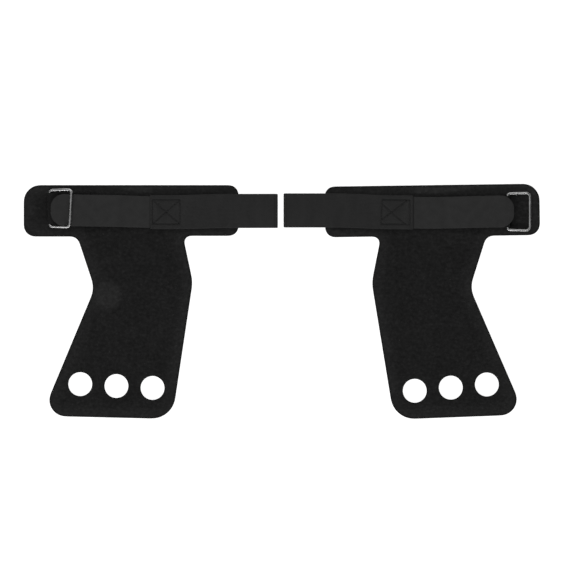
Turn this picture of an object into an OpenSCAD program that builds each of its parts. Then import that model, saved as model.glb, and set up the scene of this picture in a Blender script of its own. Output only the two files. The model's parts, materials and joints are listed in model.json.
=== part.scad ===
// A pair of palm grips for bar work, laid flat side by side and mirrored.
// Each grip is one die-cut microfibre sheet (wrist cuff and palm) with an elastic strap,
// a hook-tape tab, a wire ring in a webbing loop, and thread.
// X runs across the pair, Y from the finger end to the cuffs, Z up from the table.
// Each grip is drawn with x counted outward from the middle of the pair.

/* [Sheet] */
// Thickness of the microfibre sheet
sheet_t = 2; // [1.4:0.1:2.6]
// Gap from the middle of the pair to the inner end of each cuff
cuff_inner_x = 37; // [30:0.1:45]
// Length of the wrist cuff
cuff_len = 184; // [175:0.1:195]
// Width of the wrist cuff
cuff_w = 44.1; // [38:0.1:50]
// Height of the cuff's lower edge above the middle of the pair
cuff_y = 55.8; // [54:0.1:60]
// Radius of the cuff's top outer corner
cuff_top_r = 14; // [6:0.5:18]
// Radius of the cuff's lower outer corner
cuff_low_r = 9.5; // [4:0.5:14]
// Radius of the cuff's two inner corners
cuff_inner_r = 8; // [4:0.5:12]
// Turn of the right grip's sheet as it lies, in degrees
right_turn = 0.8; // [0:0.1:2]

/* [Palm] */
// Distance from the cuff's lower edge to the finger end of the palm
palm_len = 156.3; // [140:0.1:175]
// Width of the palm at its narrowest, between the two waist corners
waist_w = 84.2; // [75:0.1:95]
// Width of the neck where it joins the cuff
neck_w = 90.5; // [82:0.5:96]
// Width of the palm along its finger end, before the corners are rounded
finger_end_w = 112.1; // [104:0.1:120]
// Distance of the neck's inner side from the middle of the pair
neck_inner_x = 84.6; // [80:0.1:90]
// Height of the outer waist corner
outer_waist_y = 11.3; // [0:0.1:25]
// Height of the inner waist corner
inner_waist_y = 17.1; // [5:0.1:30]
// Radius at the outer waist
outer_waist_r = 21.4; // [10:0.1:30]
// Radius at the inner waist
inner_waist_r = 34.3; // [15:0.1:45]
// Radius of the outer finger-end corner
outer_end_r = 14; // [8:0.1:20]
// Radius of the inner finger-end corner
inner_end_r = 20; // [10:0.5:26]
// Radius in the outer notch, between palm and cuff
outer_notch_r = 7.7; // [3:0.1:9]
// Radius in the inner notch, between palm and cuff
inner_notch_r = 5.1; // [2:0.1:8]
// Length of the sheet that bends when the palm is lifted
flex_len = 10; // [6:0.5:12]
// Distance from the cuff's lower edge to the middle of that bend
flex_drop = 7.2; // [6:0.1:9]

/* [Finger holes] */
// Diameter of each finger hole
hole_d = 20.4; // [17:0.1:24]
// Distance between neighbouring finger holes
hole_pitch = 31; // [28:0.1:34]
// Distance of the middle hole from the finger end, left grip
left_hole_up = 28.3; // [24:0.1:34]
// Distance of the middle hole from the finger end, right grip
right_hole_up = 26.7; // [24:0.1:34]
// Distance of the middle hole from the middle of the pair, left grip
left_hole_x = 141.6; // [138:0.1:146]
// Distance of the middle hole from the middle of the pair, right grip
right_hole_x = 142.7; // [138:0.1:146]
// Slope of the row of holes, in degrees, left grip
left_row_slope = 3; // [0:0.1:6]
// Slope of the row of holes, in degrees, right grip
right_row_slope = 4.2; // [0:0.1:6]

/* [Elastic strap] */
// Width of the elastic
elastic_w = 29.2; // [24:0.1:32]
// Thickness of the elastic
elastic_t = 1.4; // [1:0.1:1.8]
// Height of the strap's centre line, left grip
left_strap_y = 78.2; // [78:0.1:79]
// Height of the strap's centre line, right grip
right_strap_y = 77.6; // [77:0.1:78]
// Distance of the fold from the middle of the pair, left grip
left_fold_x = 3.3; // [2:0.1:8]
// Distance of the fold from the middle of the pair, right grip
right_fold_x = 1.5; // [1:0.1:8]
// Radius of the fold at the middle of the elastic
fold_r = 2; // [1.6:0.1:2]
// End of the elastic that is sewn to the cuff
sewn_end_x = 80; // [66:0.5:82]
// End of the elastic on the tab
elastic_end_x = 112.7; // [108:0.1:118]

/* [Hook tab] */
// Width of the tab
tab_w = 26.6; // [22:0.1:26.8]
// Thickness of the tab with its hooks
tab_t = 1.6; // [1.2:0.1:2]
// Radius of the tab's two tip corners
tab_tip_r = 11; // [4:0.5:12]
// Inner end of the tab, under the elastic
tab_start_x = 84; // [83.5:0.1:86]
// Tip of the tab, left grip
left_tip_x = 197.5; // [192:0.1:202]
// Tip of the tab, right grip
right_tip_x = 198.6; // [192:0.1:202]
// How far the left tab can be drawn on through its ring
left_draw = 20; // [0:1:20]

/* [Ring] */
// Clear width inside the ring
ring_inner_w = 29.8; // [29.8:0.1:34]
// Clear length inside the ring
ring_inner_len = 16.8; // [14:0.1:20]
// Diameter of the ring's wire
wire_d = 2.2; // [2:0.1:2.6]
// Radius of the ring's corners at the middle of the wire
ring_corner_r = 2.6; // [2:0.1:4]
// Held bar of the left ring, from the middle of the pair
left_bar_x = 198.5; // [196:0.1:202]
// Held bar of the right ring, from the middle of the pair
right_bar_x = 193.3; // [190:0.1:196]
// Height of the left ring's centre
left_ring_y = 79.8; // [79:0.1:79.8]
// Height of the right ring's centre
right_ring_y = 77.1; // [76.8:0.1:78.4]

/* [Ring loop] */
// Width of the webbing loop
loop_w = 27; // [22:0.5:28]
// Thickness of the webbing
loop_t = 1; // [0.8:0.1:1.2]
// Running gap between the webbing and the ring's held bar
loop_gap = 0.1; // [0.05:0.01:0.1]
// Length of the webbing loop from its bar to its sewn end
loop_len = 35; // [30:0.5:38]
// Length of the loop that stands clear of the cuff beside the bar
loop_ramp = 12; // [9:0.5:14]

/* [Thread] */
// Width of a row of stitches
thread_w = 0.9; // [0.5:0.1:1.2]
// Height of a row of stitches
thread_h = 0.25; // [0.15:0.05:0.3]
// Length of the box of stitches through the elastic and the tab
box_len = 24.4; // [20:0.1:26]
// Width of the box of stitches through the elastic and the tab
box_w = 21.5; // [16:0.1:24]

/* [Hidden] */
$fn = 64;
ARC_STEPS = 10;
FOLD_STEPS = 16;
LEFT = 0;
RIGHT = 1;

SUEDE = [0.13, 0.13, 0.13];
ELASTIC = [0.17, 0.17, 0.17];
TAPE = [0.2, 0.2, 0.2];
WEBBING = [0.1, 0.1, 0.1];
THREAD = [0.05, 0.05, 0.05];
NICKEL = [0.75, 0.76, 0.78];

// Moves the pair so that its middle is over the origin
pair_shift = [-0.08, -0.36, 0];

hole_up = [left_hole_up, right_hole_up];
hole_mid_x = [left_hole_x, right_hole_x];
hole_row_slope = [left_row_slope, right_row_slope];
fold_x = [left_fold_x, right_fold_x];
strap_y = [left_strap_y, right_strap_y];
tip_x = [left_tip_x, right_tip_x];
bar_x = [left_bar_x, right_bar_x];
ring_y = [left_ring_y, right_ring_y];
draw_len = [left_draw, 0];

cuff_outer_x = cuff_inner_x + cuff_len;
cuff_top_y = cuff_y + cuff_w;
finger_end_y = cuff_y - palm_len;
// The neck's inner side starts a little above the cuff's lower edge
neck_rise = 0.6;
// The inner waist corner lies this far inward of the neck
waist_lead = 8.4;
// The finger end starts this far outward of the neck
finger_end_lead = 9.2;
waist_inner_x = neck_inner_x - waist_lead;
waist_outer_x = waist_inner_x + waist_w;
finger_end_inner_x = neck_inner_x + finger_end_lead;
finger_end_outer_x = finger_end_inner_x + finger_end_w;
// The finger end rises a little towards its outer corner
finger_end_rise = 2.7;
flex_y = cuff_y - flex_drop;
// Point that the right sheet turns about
turn_centre = [128, 78];

wire_r = wire_d / 2;
ring_pitch = ring_inner_len + wire_d;
ring_span = ring_inner_w + wire_d;
loop_in_r = wire_r + loop_gap;
loop_out_r = loop_in_r + loop_t;
bar_z = sheet_t + loop_out_r;

// Surfaces on different parts stay this far apart
air = 0.2;
// The strap's top layer lies this far above the stitches in the cuff
leg_air = 0.25;
// The left ring's free bar stays this far above its tab
ring_air = 0.3;
// The right ring's free bar stays this far above its cuff
rest_air = 0.05;
// The elastic leaves the cuff level, then drops within this length to the table
base_drop_len = 9;
// The elastic is free of the cuff from this far inward of its edge
base_free = 0.4;
// The strap's top layer is level from this far inward of the cuff
leg_level = 5;
// The top layer leaves its fold level for this length
fold_level = 1;
// Length of the tab's first climb, and how far before the webbing's steps each climb is finished
first_climb = 15;
climb_lead = 2;
// Rows of stitches stay this far inside the edges of what they sew
band_inset = 2.4;
band_end_inset = 3;
sewn_end_inset = 2;
box_inset = 1.7;
loop_inset = 2;
// Cuts run this far past the faces that they cut
cut = 1;
// Longer than any side of a grip
reach = 300;
base_z = sheet_t + elastic_t / 2;
fold_z = 3.4;
leg_z = sheet_t + elastic_t + thread_h + leg_air + elastic_t / 2;
tab_low_z = leg_z - elastic_t / 2 - tab_t;
tab_mid_z = sheet_t + 2 * loop_t + thread_h + air;
tab_high_z = bar_z + loop_out_r + air;
// The left ring rests on its tab, and the right ring rests on its cuff
left_free_z = tab_high_z + tab_t + ring_air + wire_r;
right_free_z = sheet_t + rest_air + wire_r;
ring_angle = [
    180 - asin((left_free_z - bar_z) / ring_pitch),
    asin((right_free_z - bar_z) / ring_pitch)
];

function unit(v) = v / norm(v);

// The corner at b, between a and c, rounded to radius r
function rounded(a, b, c, r) =
    let (
        to_a = unit(a - b),
        to_c = unit(c - b),
        half = acos(to_a * to_c) / 2,
        centre = b + unit(to_a + to_c) * r / sin(half),
        start = b + to_a * r / tan(half) - centre,
        stop = b + to_c * r / tan(half) - centre,
        from = atan2(start.y, start.x),
        turn = atan2(start.x * stop.y - start.y * stop.x, start * stop)
    )
    [for (i = [0 : ARC_STEPS])
        centre + r * [cos(from + turn * i / ARC_STEPS), sin(from + turn * i / ARC_STEPS)]];

// A closed outline from corners [x, y, radius]
function rounded_outline(corners) =
    let (n = len(corners))
    [for (i = [0 : n - 1])
        let (a = corners[(i + n - 1) % n], b = corners[i], c = corners[(i + 1) % n])
        each rounded([a.x, a.y], [b.x, b.y], [c.x, c.y], b.z)];

// Direction square to a path at point i
function side_of(path, i) =
    let (
        n = len(path),
        before = unit(path[max(i, 1)] - path[max(i, 1) - 1]),
        after = unit(path[min(i + 1, n - 1)] - path[min(i, n - 2)]),
        along = unit(before + after)
    )
    [-along.y, along.x] / (along * after);

// Outline of a band of thickness t along the middle of a path
function band_outline(path, t) = concat(
    [for (i = [0 : len(path) - 1]) path[i] + side_of(path, i) * t / 2],
    [for (i = [len(path) - 1 : -1 : 0]) path[i] - side_of(path, i) * t / 2]
);

// The whole sheet: cuff, neck and palm
sheet_outline = rounded_outline([
    [cuff_inner_x, cuff_top_y, cuff_inner_r],
    [cuff_outer_x, cuff_top_y, cuff_top_r],
    [cuff_outer_x, cuff_y, cuff_low_r],
    [neck_inner_x + neck_w, cuff_y, outer_notch_r],
    [waist_outer_x, outer_waist_y, outer_waist_r],
    [finger_end_outer_x, finger_end_y + finger_end_rise, outer_end_r],
    [finger_end_inner_x, finger_end_y, inner_end_r],
    [waist_inner_x, inner_waist_y, inner_waist_r],
    [neck_inner_x, cuff_y + neck_rise, inner_notch_r],
    [cuff_inner_x, cuff_y + neck_rise, cuff_inner_r]
]);

// Places one grip: the left grip is the mirror image
module grip(side) {
    translate(pair_shift)
        mirror([side == LEFT ? 1 : 0, 0, 0])
            children();
}

// Turns the right sheet as it lies on the table
module laid(side) {
    turn = side == RIGHT ? right_turn : 0;
    translate([turn_centre.x, turn_centre.y, 0])
        rotate([0, 0, turn])
            translate([-turn_centre.x, -turn_centre.y, 0])
                children();
}

// The part of the sheet between two heights
module sheet_between(low_y, high_y) {
    intersection() {
        linear_extrude(sheet_t)
            polygon(sheet_outline);
        translate([0, low_y, -cut])
            cube([reach, high_y - low_y, sheet_t + 2 * cut]);
    }
}

// Stretches an outline drawn in x and z across a strap of width w
module across(w, y) {
    translate([0, y + w / 2, 0])
        rotate([90, 0, 0])
            linear_extrude(w)
                children();
}

// A band of width w that follows a path of [x, z] points
module band(path, t, w, y) {
    across(w, y)
        polygon(band_outline(path, t));
}

// A rectangle of stitches, from corner low to corner high
module stitch_frame(low, high, z) {
    size = high - low;
    for (y = [low.y, high.y - thread_w])
        translate([low.x, y, z])
            cube([size.x, thread_w, thread_h]);
    for (x = [low.x, high.x - thread_w])
        translate([x, low.y, z])
            cube([thread_w, size.y, thread_h]);
}

module cuff(side) {
    color(SUEDE) grip(side) laid(side)
        sheet_between(flex_y + flex_len / 2, reach);
}

module wrist_flex(side) {
    color(SUEDE) grip(side) laid(side)
        sheet_between(flex_y - flex_len / 2, flex_y + flex_len / 2);
}

module palm(side) {
    color(SUEDE) grip(side) laid(side)
        difference() {
            sheet_between(-reach, flex_y - flex_len / 2);
            translate([hole_mid_x[side], finger_end_y + hole_up[side], 0])
                rotate([0, 0, hole_row_slope[side]])
                    for (i = [-1 : 1])
                        translate([i * hole_pitch, 0, -cut])
                            cylinder(d = hole_d, h = sheet_t + 2 * cut);
        }
}

module elastic_base(side) {
    centre_x = fold_x[side] + fold_r + elastic_t / 2;
    color(ELASTIC) grip(side)
        band(
            [[sewn_end_x, base_z], [cuff_inner_x - base_free, base_z],
                [cuff_inner_x - base_drop_len, fold_z - fold_r], [centre_x, fold_z - fold_r]],
            elastic_t, elastic_w, strap_y[side]
        );
}

module elastic_fold(side) {
    centre = [fold_x[side] + fold_r + elastic_t / 2, fold_z];
    turn = [for (i = [0 : FOLD_STEPS]) 90 + 180 * i / FOLD_STEPS];
    back = [for (i = [FOLD_STEPS : -1 : 0]) turn[i]];
    outer = [for (a = turn) centre + (fold_r + elastic_t / 2) * [cos(a), sin(a)]];
    inner = [for (a = back) centre + (fold_r - elastic_t / 2) * [cos(a), sin(a)]];
    color(ELASTIC) grip(side)
        across(elastic_w, strap_y[side])
            polygon(concat(outer, inner));
}

module elastic_leg(side) {
    centre_x = fold_x[side] + fold_r + elastic_t / 2;
    color(ELASTIC) grip(side)
        band(
            [[centre_x, fold_z + fold_r], [centre_x + fold_level, fold_z + fold_r],
                [cuff_inner_x - leg_level, leg_z], [tab_start_x, leg_z]],
            elastic_t, elastic_w, strap_y[side]
        );
}

module elastic_end(side) {
    color(ELASTIC) grip(side)
        band(
            [[tab_start_x, leg_z], [elastic_end_x, leg_z]],
            elastic_t, elastic_w, strap_y[side]
        );
}

module hook_tab(side) {
    // The tab lies low beside the elastic, then climbs over the ring loop in two steps
    climb_1 = bar_x[side] - loop_len - draw_len[side];
    climb_2 = bar_x[side] - loop_ramp - draw_len[side];
    half_t = tab_t / 2;
    square_r = 0.3;
    path = [
        [tab_start_x, tab_low_z + half_t],
        [climb_1 - climb_lead - first_climb, tab_low_z + half_t],
        [climb_1 - climb_lead, tab_mid_z + half_t],
        [climb_2 - climb_lead, tab_mid_z + half_t],
        [climb_2 - climb_lead + loop_ramp, tab_high_z + half_t],
        [tip_x[side], tab_high_z + half_t]
    ];
    tip = rounded_outline([
        [tab_start_x - cut, -tab_w / 2, square_r],
        [tip_x[side], -tab_w / 2, tab_tip_r],
        [tip_x[side], tab_w / 2, tab_tip_r],
        [tab_start_x - cut, tab_w / 2, square_r]
    ]);
    color(TAPE) grip(side)
        intersection() {
            band(path, tab_t, tab_w + 2 * cut, strap_y[side]);
            translate([0, strap_y[side], 0])
                linear_extrude(tab_high_z + tab_t + cut)
                    polygon(tip);
        }
}

module ring_loop(side) {
    flat_end = bar_x[side] - loop_ramp;
    start = bar_x[side] - loop_len;
    y = ring_y[side] + loop_w / 2;
    crown = 1;
    outline = [
        [start, sheet_t],
        [bar_x[side], sheet_t],
        [bar_x[side], bar_z + loop_out_r],
        [bar_x[side] - crown, bar_z + loop_out_r],
        [flat_end, sheet_t + 2 * loop_t],
        [start, sheet_t + 2 * loop_t]
    ];
    color(WEBBING) grip(side)
        difference() {
            union() {
                translate([bar_x[side], y, bar_z])
                    rotate([90, 0, 0])
                        cylinder(r = loop_out_r, h = loop_w);
                across(loop_w, ring_y[side])
                    polygon(outline);
            }
            translate([bar_x[side], y + cut, bar_z])
                rotate([90, 0, 0])
                    cylinder(r = loop_in_r, h = loop_w + 2 * cut);
        }
}

module ring(side) {
    straight_x = ring_pitch - 2 * ring_corner_r;
    straight_y = ring_span - 2 * ring_corner_r;
    color(NICKEL) grip(side)
        translate([bar_x[side], ring_y[side], bar_z])
            rotate([0, -ring_angle[side], 0]) {
                for (x = [0, ring_pitch])
                    translate([x, straight_y / 2, 0])
                        rotate([90, 0, 0])
                            cylinder(r = wire_r, h = straight_y);
                for (y = [-ring_span / 2, ring_span / 2])
                    translate([ring_corner_r, y, 0])
                        rotate([0, 90, 0])
                            cylinder(r = wire_r, h = straight_x);
                for (i = [0 : 3])
                    translate([ring_pitch / 2, 0, 0])
                        mirror([i % 2, 0, 0])
                            mirror([0, floor(i / 2), 0])
                                translate([straight_x / 2, straight_y / 2, 0])
                                    rotate_extrude(angle = 90)
                                        translate([ring_corner_r, 0])
                                            circle(r = wire_r);
            }
}

module band_stitching(side) {
    color(THREAD) grip(side)
        translate([0, strap_y[side], 0])
            stitch_frame(
                [cuff_inner_x + band_end_inset, band_inset - elastic_w / 2],
                [sewn_end_x - sewn_end_inset, elastic_w / 2 - band_inset],
                sheet_t + elastic_t
            );
}

module box_stitching(side) {
    x = elastic_end_x - box_inset - box_len / 2;
    slope = atan2(box_w - thread_w, box_len - thread_w);
    diagonal = norm([box_w - thread_w, box_len - thread_w]);
    top_z = leg_z + elastic_t / 2;
    color(THREAD) grip(side)
        translate([x, strap_y[side], 0]) {
            stitch_frame([-box_len / 2, -box_w / 2], [box_len / 2, box_w / 2], top_z);
            for (a = [-slope, slope])
                rotate([0, 0, a])
                    translate([-diagonal / 2, -thread_w / 2, top_z])
                        cube([diagonal, thread_w, thread_h]);
        }
}

module loop_stitching(side) {
    start = bar_x[side] - loop_len;
    color(THREAD) grip(side)
        translate([0, ring_y[side], 0])
            stitch_frame(
                [start + loop_inset, loop_inset - loop_w / 2],
                [bar_x[side] - loop_ramp - loop_inset, loop_w / 2 - loop_inset],
                sheet_t + 2 * loop_t
            );
}

cuff(LEFT);  // left_cuff
wrist_flex(LEFT);  // left_wrist_flex
palm(LEFT);  // left_palm
elastic_base(LEFT);  // left_elastic_base
elastic_fold(LEFT);  // left_elastic_fold
elastic_leg(LEFT);  // left_elastic_leg
elastic_end(LEFT);  // left_elastic_end
hook_tab(LEFT);  // left_hook_tab
ring_loop(LEFT);  // left_ring_loop
ring(LEFT);  // left_ring
band_stitching(LEFT);  // left_band_stitching
box_stitching(LEFT);  // left_box_stitching
loop_stitching(LEFT);  // left_loop_stitching
cuff(RIGHT);  // right_cuff
wrist_flex(RIGHT);  // right_wrist_flex
palm(RIGHT);  // right_palm
elastic_base(RIGHT);  // right_elastic_base
elastic_fold(RIGHT);  // right_elastic_fold
elastic_leg(RIGHT);  // right_elastic_leg
elastic_end(RIGHT);  // right_elastic_end
hook_tab(RIGHT);  // right_hook_tab
ring_loop(RIGHT);  // right_ring_loop
ring(RIGHT);  // right_ring
band_stitching(RIGHT);  // right_band_stitching
box_stitching(RIGHT);  // right_box_stitching
loop_stitching(RIGHT);  // right_loop_stitching
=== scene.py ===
import json
from functools import partial
from math import cos, exp, pi, radians, sin, sqrt

import bmesh
import bpy
import numpy as np
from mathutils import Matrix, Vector, geometry, kdtree, noise


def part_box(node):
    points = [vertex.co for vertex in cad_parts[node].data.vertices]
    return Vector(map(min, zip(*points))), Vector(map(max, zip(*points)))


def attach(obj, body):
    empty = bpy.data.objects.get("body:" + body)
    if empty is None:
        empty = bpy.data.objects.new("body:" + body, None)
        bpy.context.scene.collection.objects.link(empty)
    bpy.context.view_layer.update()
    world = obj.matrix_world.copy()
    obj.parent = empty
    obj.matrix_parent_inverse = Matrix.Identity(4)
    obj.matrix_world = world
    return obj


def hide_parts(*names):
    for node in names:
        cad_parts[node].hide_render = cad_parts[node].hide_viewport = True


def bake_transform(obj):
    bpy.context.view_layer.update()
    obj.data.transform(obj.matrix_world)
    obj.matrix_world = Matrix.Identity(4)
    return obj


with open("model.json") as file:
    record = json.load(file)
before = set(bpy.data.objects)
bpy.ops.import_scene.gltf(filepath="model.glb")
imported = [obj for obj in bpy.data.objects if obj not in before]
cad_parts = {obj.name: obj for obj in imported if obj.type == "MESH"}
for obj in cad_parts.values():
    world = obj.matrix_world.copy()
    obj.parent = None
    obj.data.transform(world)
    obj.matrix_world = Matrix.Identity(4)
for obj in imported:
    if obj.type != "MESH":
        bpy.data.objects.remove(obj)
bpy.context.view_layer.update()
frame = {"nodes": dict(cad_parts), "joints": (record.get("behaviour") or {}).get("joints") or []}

# Shapes are worked out in millimetres and made in metres. x is counted outward from the middle
# of the pair, and SIGN mirrors it for the left grip.
MM = 0.001
SIGN = {"left": -1, "right": 1}
JOINTS = {j["name"]: j for j in frame["joints"]}

# Thickness of the elastic, the tab with its hooks, the tab's backing and the webbing
ELASTIC_T = 1.4
TAB_T = 1.6
BACKING_T = 0.7
WEBBING_T = 0.96
# Width of the rounded edges of the elastic, the tab and the webbing
ELASTIC_EDGE = 0.6
TAB_EDGE = 0.35
WEBBING_EDGE = 0.4
# Length over which a band's cut end is rounded, for most bands and for the tab
CUT_END = 0.5
TAB_END = 0.3

# Ribs of the elastic, and how many mesh steps cross each of them
RIB_PITCH = 1.1
RIB_DEPTH = 0.06
RIB_STEPS = 4

# Wire of the ring, and its corners at the free bar and at the held bar
WIRE_R = 1.1
FREE_CORNER = 3.2
HELD_CORNER = 2.3
# Each arm of the ring comes in by this much towards the held bar
RING_TAPER = 0.5
# The free bar isn't quite square to the arms: the upper arm is this much longer and the lower one
# this much shorter
RING_LEAN = {"left": 0.9, "right": 0.0}

# Base colours, as linear greys
SUEDE = 0.0158
ELASTIC = 0.0315
HOOK_TAPE = 0.0335
WEBBING = 0.0125
THREAD = 0.0125
SUEDE_SPECULAR = 0.08
CLOTH_SPECULAR = 0.12
TAPE_SPECULAR = 0.14

# The strap's centre line drifts sideways by listed amounts: (x outward, drift)
DRIFT = {
    "left": ((0, -0.45), (45, -0.5), (98, -1.55), (160, -0.3), (198, 0.4)),
    "right": ((0, 0.55), (45, 0.55), (98, -1.0), (125, -1.5), (198, -0.3)),
}


# ---- reading the frame

def node_span(node):
    """Lowest and highest corner of a CAD node in millimetres."""
    low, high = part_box(node)
    return low / MM, high / MM


def outward(side, node):
    """Inner and outer x of a CAD node, counted outward."""
    low, high = node_span(node)
    return sorted((SIGN[side] * low.x, SIGN[side] * high.x))


def joint_place(name):
    return Vector(JOINTS[name]["pos_m"]) / MM


def clamp01(t):
    return max(0.0, min(1.0, t))


def smooth(t):
    t = clamp01(t)
    return t * t * (3 - 2 * t)


def ripple(x, y, size, seed):
    """Even noise from -1 to 1 whose features are about size across."""
    return noise.noise(Vector((x / size, y / size, seed)))


def waves(x, y, table):
    """Sum of ripples, each with its (height, size, seed)."""
    return sum(height * ripple(x, y, size, seed) for height, size, seed in table)


def along_table(table, x):
    """Smooth steps between the (x, value) pairs of a table."""
    for (x0, v0), (x1, v1) in zip(table, table[1:]):
        if x <= x1:
            return v0 + (v1 - v0) * smooth((x - x0) / (x1 - x0))
    return table[-1][1]


STRAP_MIDDLE = {side: sum(corner.y for corner in node_span(side + "_elastic_leg")) / 2 for side in SIGN}


def strap_y(side, x):
    """Height of the strap's centre line."""
    return STRAP_MIDDLE[side] + along_table(DRIFT[side], x)


# ---- mesh helpers

def add_object(name, data):
    obj = bpy.data.objects.new(name, data)
    bpy.context.scene.collection.objects.link(obj)
    return obj


def make_object(name, verts, faces, cloth=None, materials=(), face_slots=None, wear_and_painted_light=None):
    """A smooth-shaded mesh from millimetre points.

    cloth is each vertex's place on the cloth in millimetres: along, across and through it.
    The materials read it, so their grain stays on the cloth as it bends. The last argument gives each
    vertex's wear, from 0 to 1, with painted light added on the cuff strip above the strap.
    """
    mesh = bpy.data.meshes.new(name)
    mesh.from_pydata([tuple(c * MM for c in v) for v in verts], [], faces)
    for material in materials:
        mesh.materials.append(material)
    if face_slots is not None:
        mesh.polygons.foreach_set("material_index", face_slots)
    work = bmesh.new()
    work.from_mesh(mesh)
    bmesh.ops.recalc_face_normals(work, faces=work.faces)
    work.to_mesh(mesh)
    work.free()
    mesh.polygons.foreach_set("use_smooth", [True] * len(mesh.polygons))
    places = mesh.attributes.new("cloth", "FLOAT_VECTOR", "POINT")
    places.data.foreach_set("vector", np.array(cloth or verts, np.float32).ravel())
    if wear_and_painted_light is not None:
        mesh.attributes.new("wear_and_painted_light", "FLOAT", "POINT").data.foreach_set("value", wear_and_painted_light)
    return add_object(name, mesh)


def faces_between(a, b):
    """Faces that join two closed rows of vertices."""
    return list(zip(a, a[1:] + a[:1], b[1:] + b[:1], b))


def soften(points, rounds):
    """Corner cutting of an open line, which keeps its ends."""
    for _ in range(rounds):
        cut = [points[0]]
        for a, b in zip(points, points[1:]):
            cut.append(a * 0.75 + b * 0.25)
            cut.append(a * 0.25 + b * 0.75)
        cut.append(points[-1])
        points = cut
    return points


def lengths_along(points):
    """Distance of each point of an open line from the line's start."""
    lengths = [0.0]
    for a, b in zip(points, points[1:]):
        lengths.append(lengths[-1] + (b - a).length)
    return lengths


def resample(points, step):
    """Even steps along an open line."""
    lengths = lengths_along(points)
    count = max(2, round(lengths[-1] / step))
    made, i = [], 0
    for k in range(count + 1):
        goal = lengths[-1] * k / count
        while i < len(points) - 2 and lengths[i + 1] < goal:
            i += 1
        share = (goal - lengths[i]) / max(lengths[i + 1] - lengths[i], 1e-9)
        made.append(points[i].lerp(points[i + 1], clamp01(share)))
    return made


def arc(centre, radius, from_deg, to_deg, steps):
    """Points of an arc in the xz plane."""
    angles = [radians(from_deg + (to_deg - from_deg) * k / steps) for k in range(steps + 1)]
    return [Vector((centre[0] + radius * cos(a), centre[1] + radius * sin(a))) for a in angles]


def across_steps(half, edge, step):
    """Positions across a band from -half to half, closer together in its rounded edges."""
    inner = half - edge
    count = max(2, round(2 * inner / step))
    middle = [-inner + 2 * inner * k / count for k in range(count + 1)]
    rim = [inner + edge * sin(radians(a)) for a in (25, 45, 65, 80, 90)]
    return [-v for v in reversed(rim)] + middle + rim


def rounding(distance, width):
    """Height share of an edge rounded over width, from 0.25 at the very edge to 1."""
    return 0.25 + 0.75 * sqrt(clamp01(1 - (1 - clamp01(distance / width)) ** 2))


def band(name, side, path, half, thick, edge, step, material, centre_y,
         width_at=None, top=None, bottom=None, round_start=CUT_END, round_stop=CUT_END):
    """A band of cloth along path, a list of (x, z) points.

    half is its half width, edge the width of its rounded edges, and step the mesh's step across
    it. top and bottom give a lift of each face from (x, distance across, distance along).
    width_at narrows it along its length. round_start and round_stop are 0 where it goes on.
    """
    across = across_steps(half, edge, step)
    count = len(across)
    lengths = lengths_along(path)
    verts, cloth, rings = [], [], []
    for i, (p, s) in enumerate(zip(path, lengths)):
        along = (path[min(i + 1, len(path) - 1)] - path[max(i - 1, 0)]).normalized()
        normal = Vector((-along.y, along.x))
        ends = ((s, round_start), (lengths[-1] - s, round_stop))
        fullness = min([1.0] + [rounding(gap, width) for gap, width in ends if width])
        share = width_at(s) if width_at else 1.0
        ring = []
        for up, row, relief in ((1, across, top), (-1, across[::-1][1:-1], bottom)):
            for v in row:
                rim = clamp01((abs(v) - (half - edge)) / edge)
                body = sqrt(max(0.0, 1 - rim * rim)) * fullness
                lift = relief(p.x, v * share, s) * body if relief else 0.0
                height = (thick / 2 * body + lift) * up
                at = p + normal * height
                verts.append((SIGN[side] * at.x, centre_y(p.x) + v * share, at.y))
                cloth.append((s, v * share, height))
                ring.append(len(verts) - 1)
        rings.append(ring)
    faces = [face for a, b in zip(rings, rings[1:]) for face in faces_between(a, b)]
    for ring in (rings[0], rings[-1]):
        under = [ring[0]] + ring[:count - 1:-1] + [ring[count - 1]]
        for k in range(count - 1):
            corner = (ring[k], ring[k + 1], under[k + 1], under[k])
            faces.append(tuple(dict.fromkeys(corner)))
    return make_object(name, verts, faces, cloth, [material])


def tube(points, radius, sides, closed=False, squash=1.0, taper=None):
    """Verts, faces and cloth places of a tube along 3-D points.

    taper gives a share of the radius from the share of the way along. squash flattens the tube.
    """
    count = len(points)
    verts, cloth = [], []
    s = 0.0
    for i, p in enumerate(points):
        before = points[i - 1] if closed or i else points[0]
        after = points[(i + 1) % count] if closed or i < count - 1 else points[-1]
        along = (after - before).normalized()
        flat = along.cross(Vector((0, 0, 1)))
        if flat.length < 1e-6:
            flat = along.cross(Vector((0, 1, 0)))
        flat.normalize()
        up = flat.cross(along)
        r = radius * (taper(i / (count - 1)) if taper else 1.0)
        if i:
            s += (p - points[i - 1]).length
        for k in range(sides):
            a = 2 * pi * k / sides
            verts.append(p + flat * r * cos(a) + up * r * squash * sin(a))
            cloth.append((s, r * cos(a), r * sin(a)))
    rings = [list(range(i * sides, (i + 1) * sides)) for i in range(count)]
    following = rings[1:] + (rings[:1] if closed else [])
    faces = [face for a, b in zip(rings, following) for face in faces_between(a, b)]
    if not closed:
        faces += [tuple(rings[0][::-1]), tuple(rings[-1])]
    return verts, faces, cloth


def join_parts(name, parts, material):
    """One object from many (verts, faces, cloth) parts."""
    verts, faces, cloth = [], [], []
    for part_verts, part_faces, part_cloth in parts:
        base = len(verts)
        verts += part_verts
        cloth += part_cloth
        faces += [tuple(base + i for i in face) for face in part_faces]
    return make_object(name, verts, faces, cloth, [material])


# ---- materials

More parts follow.
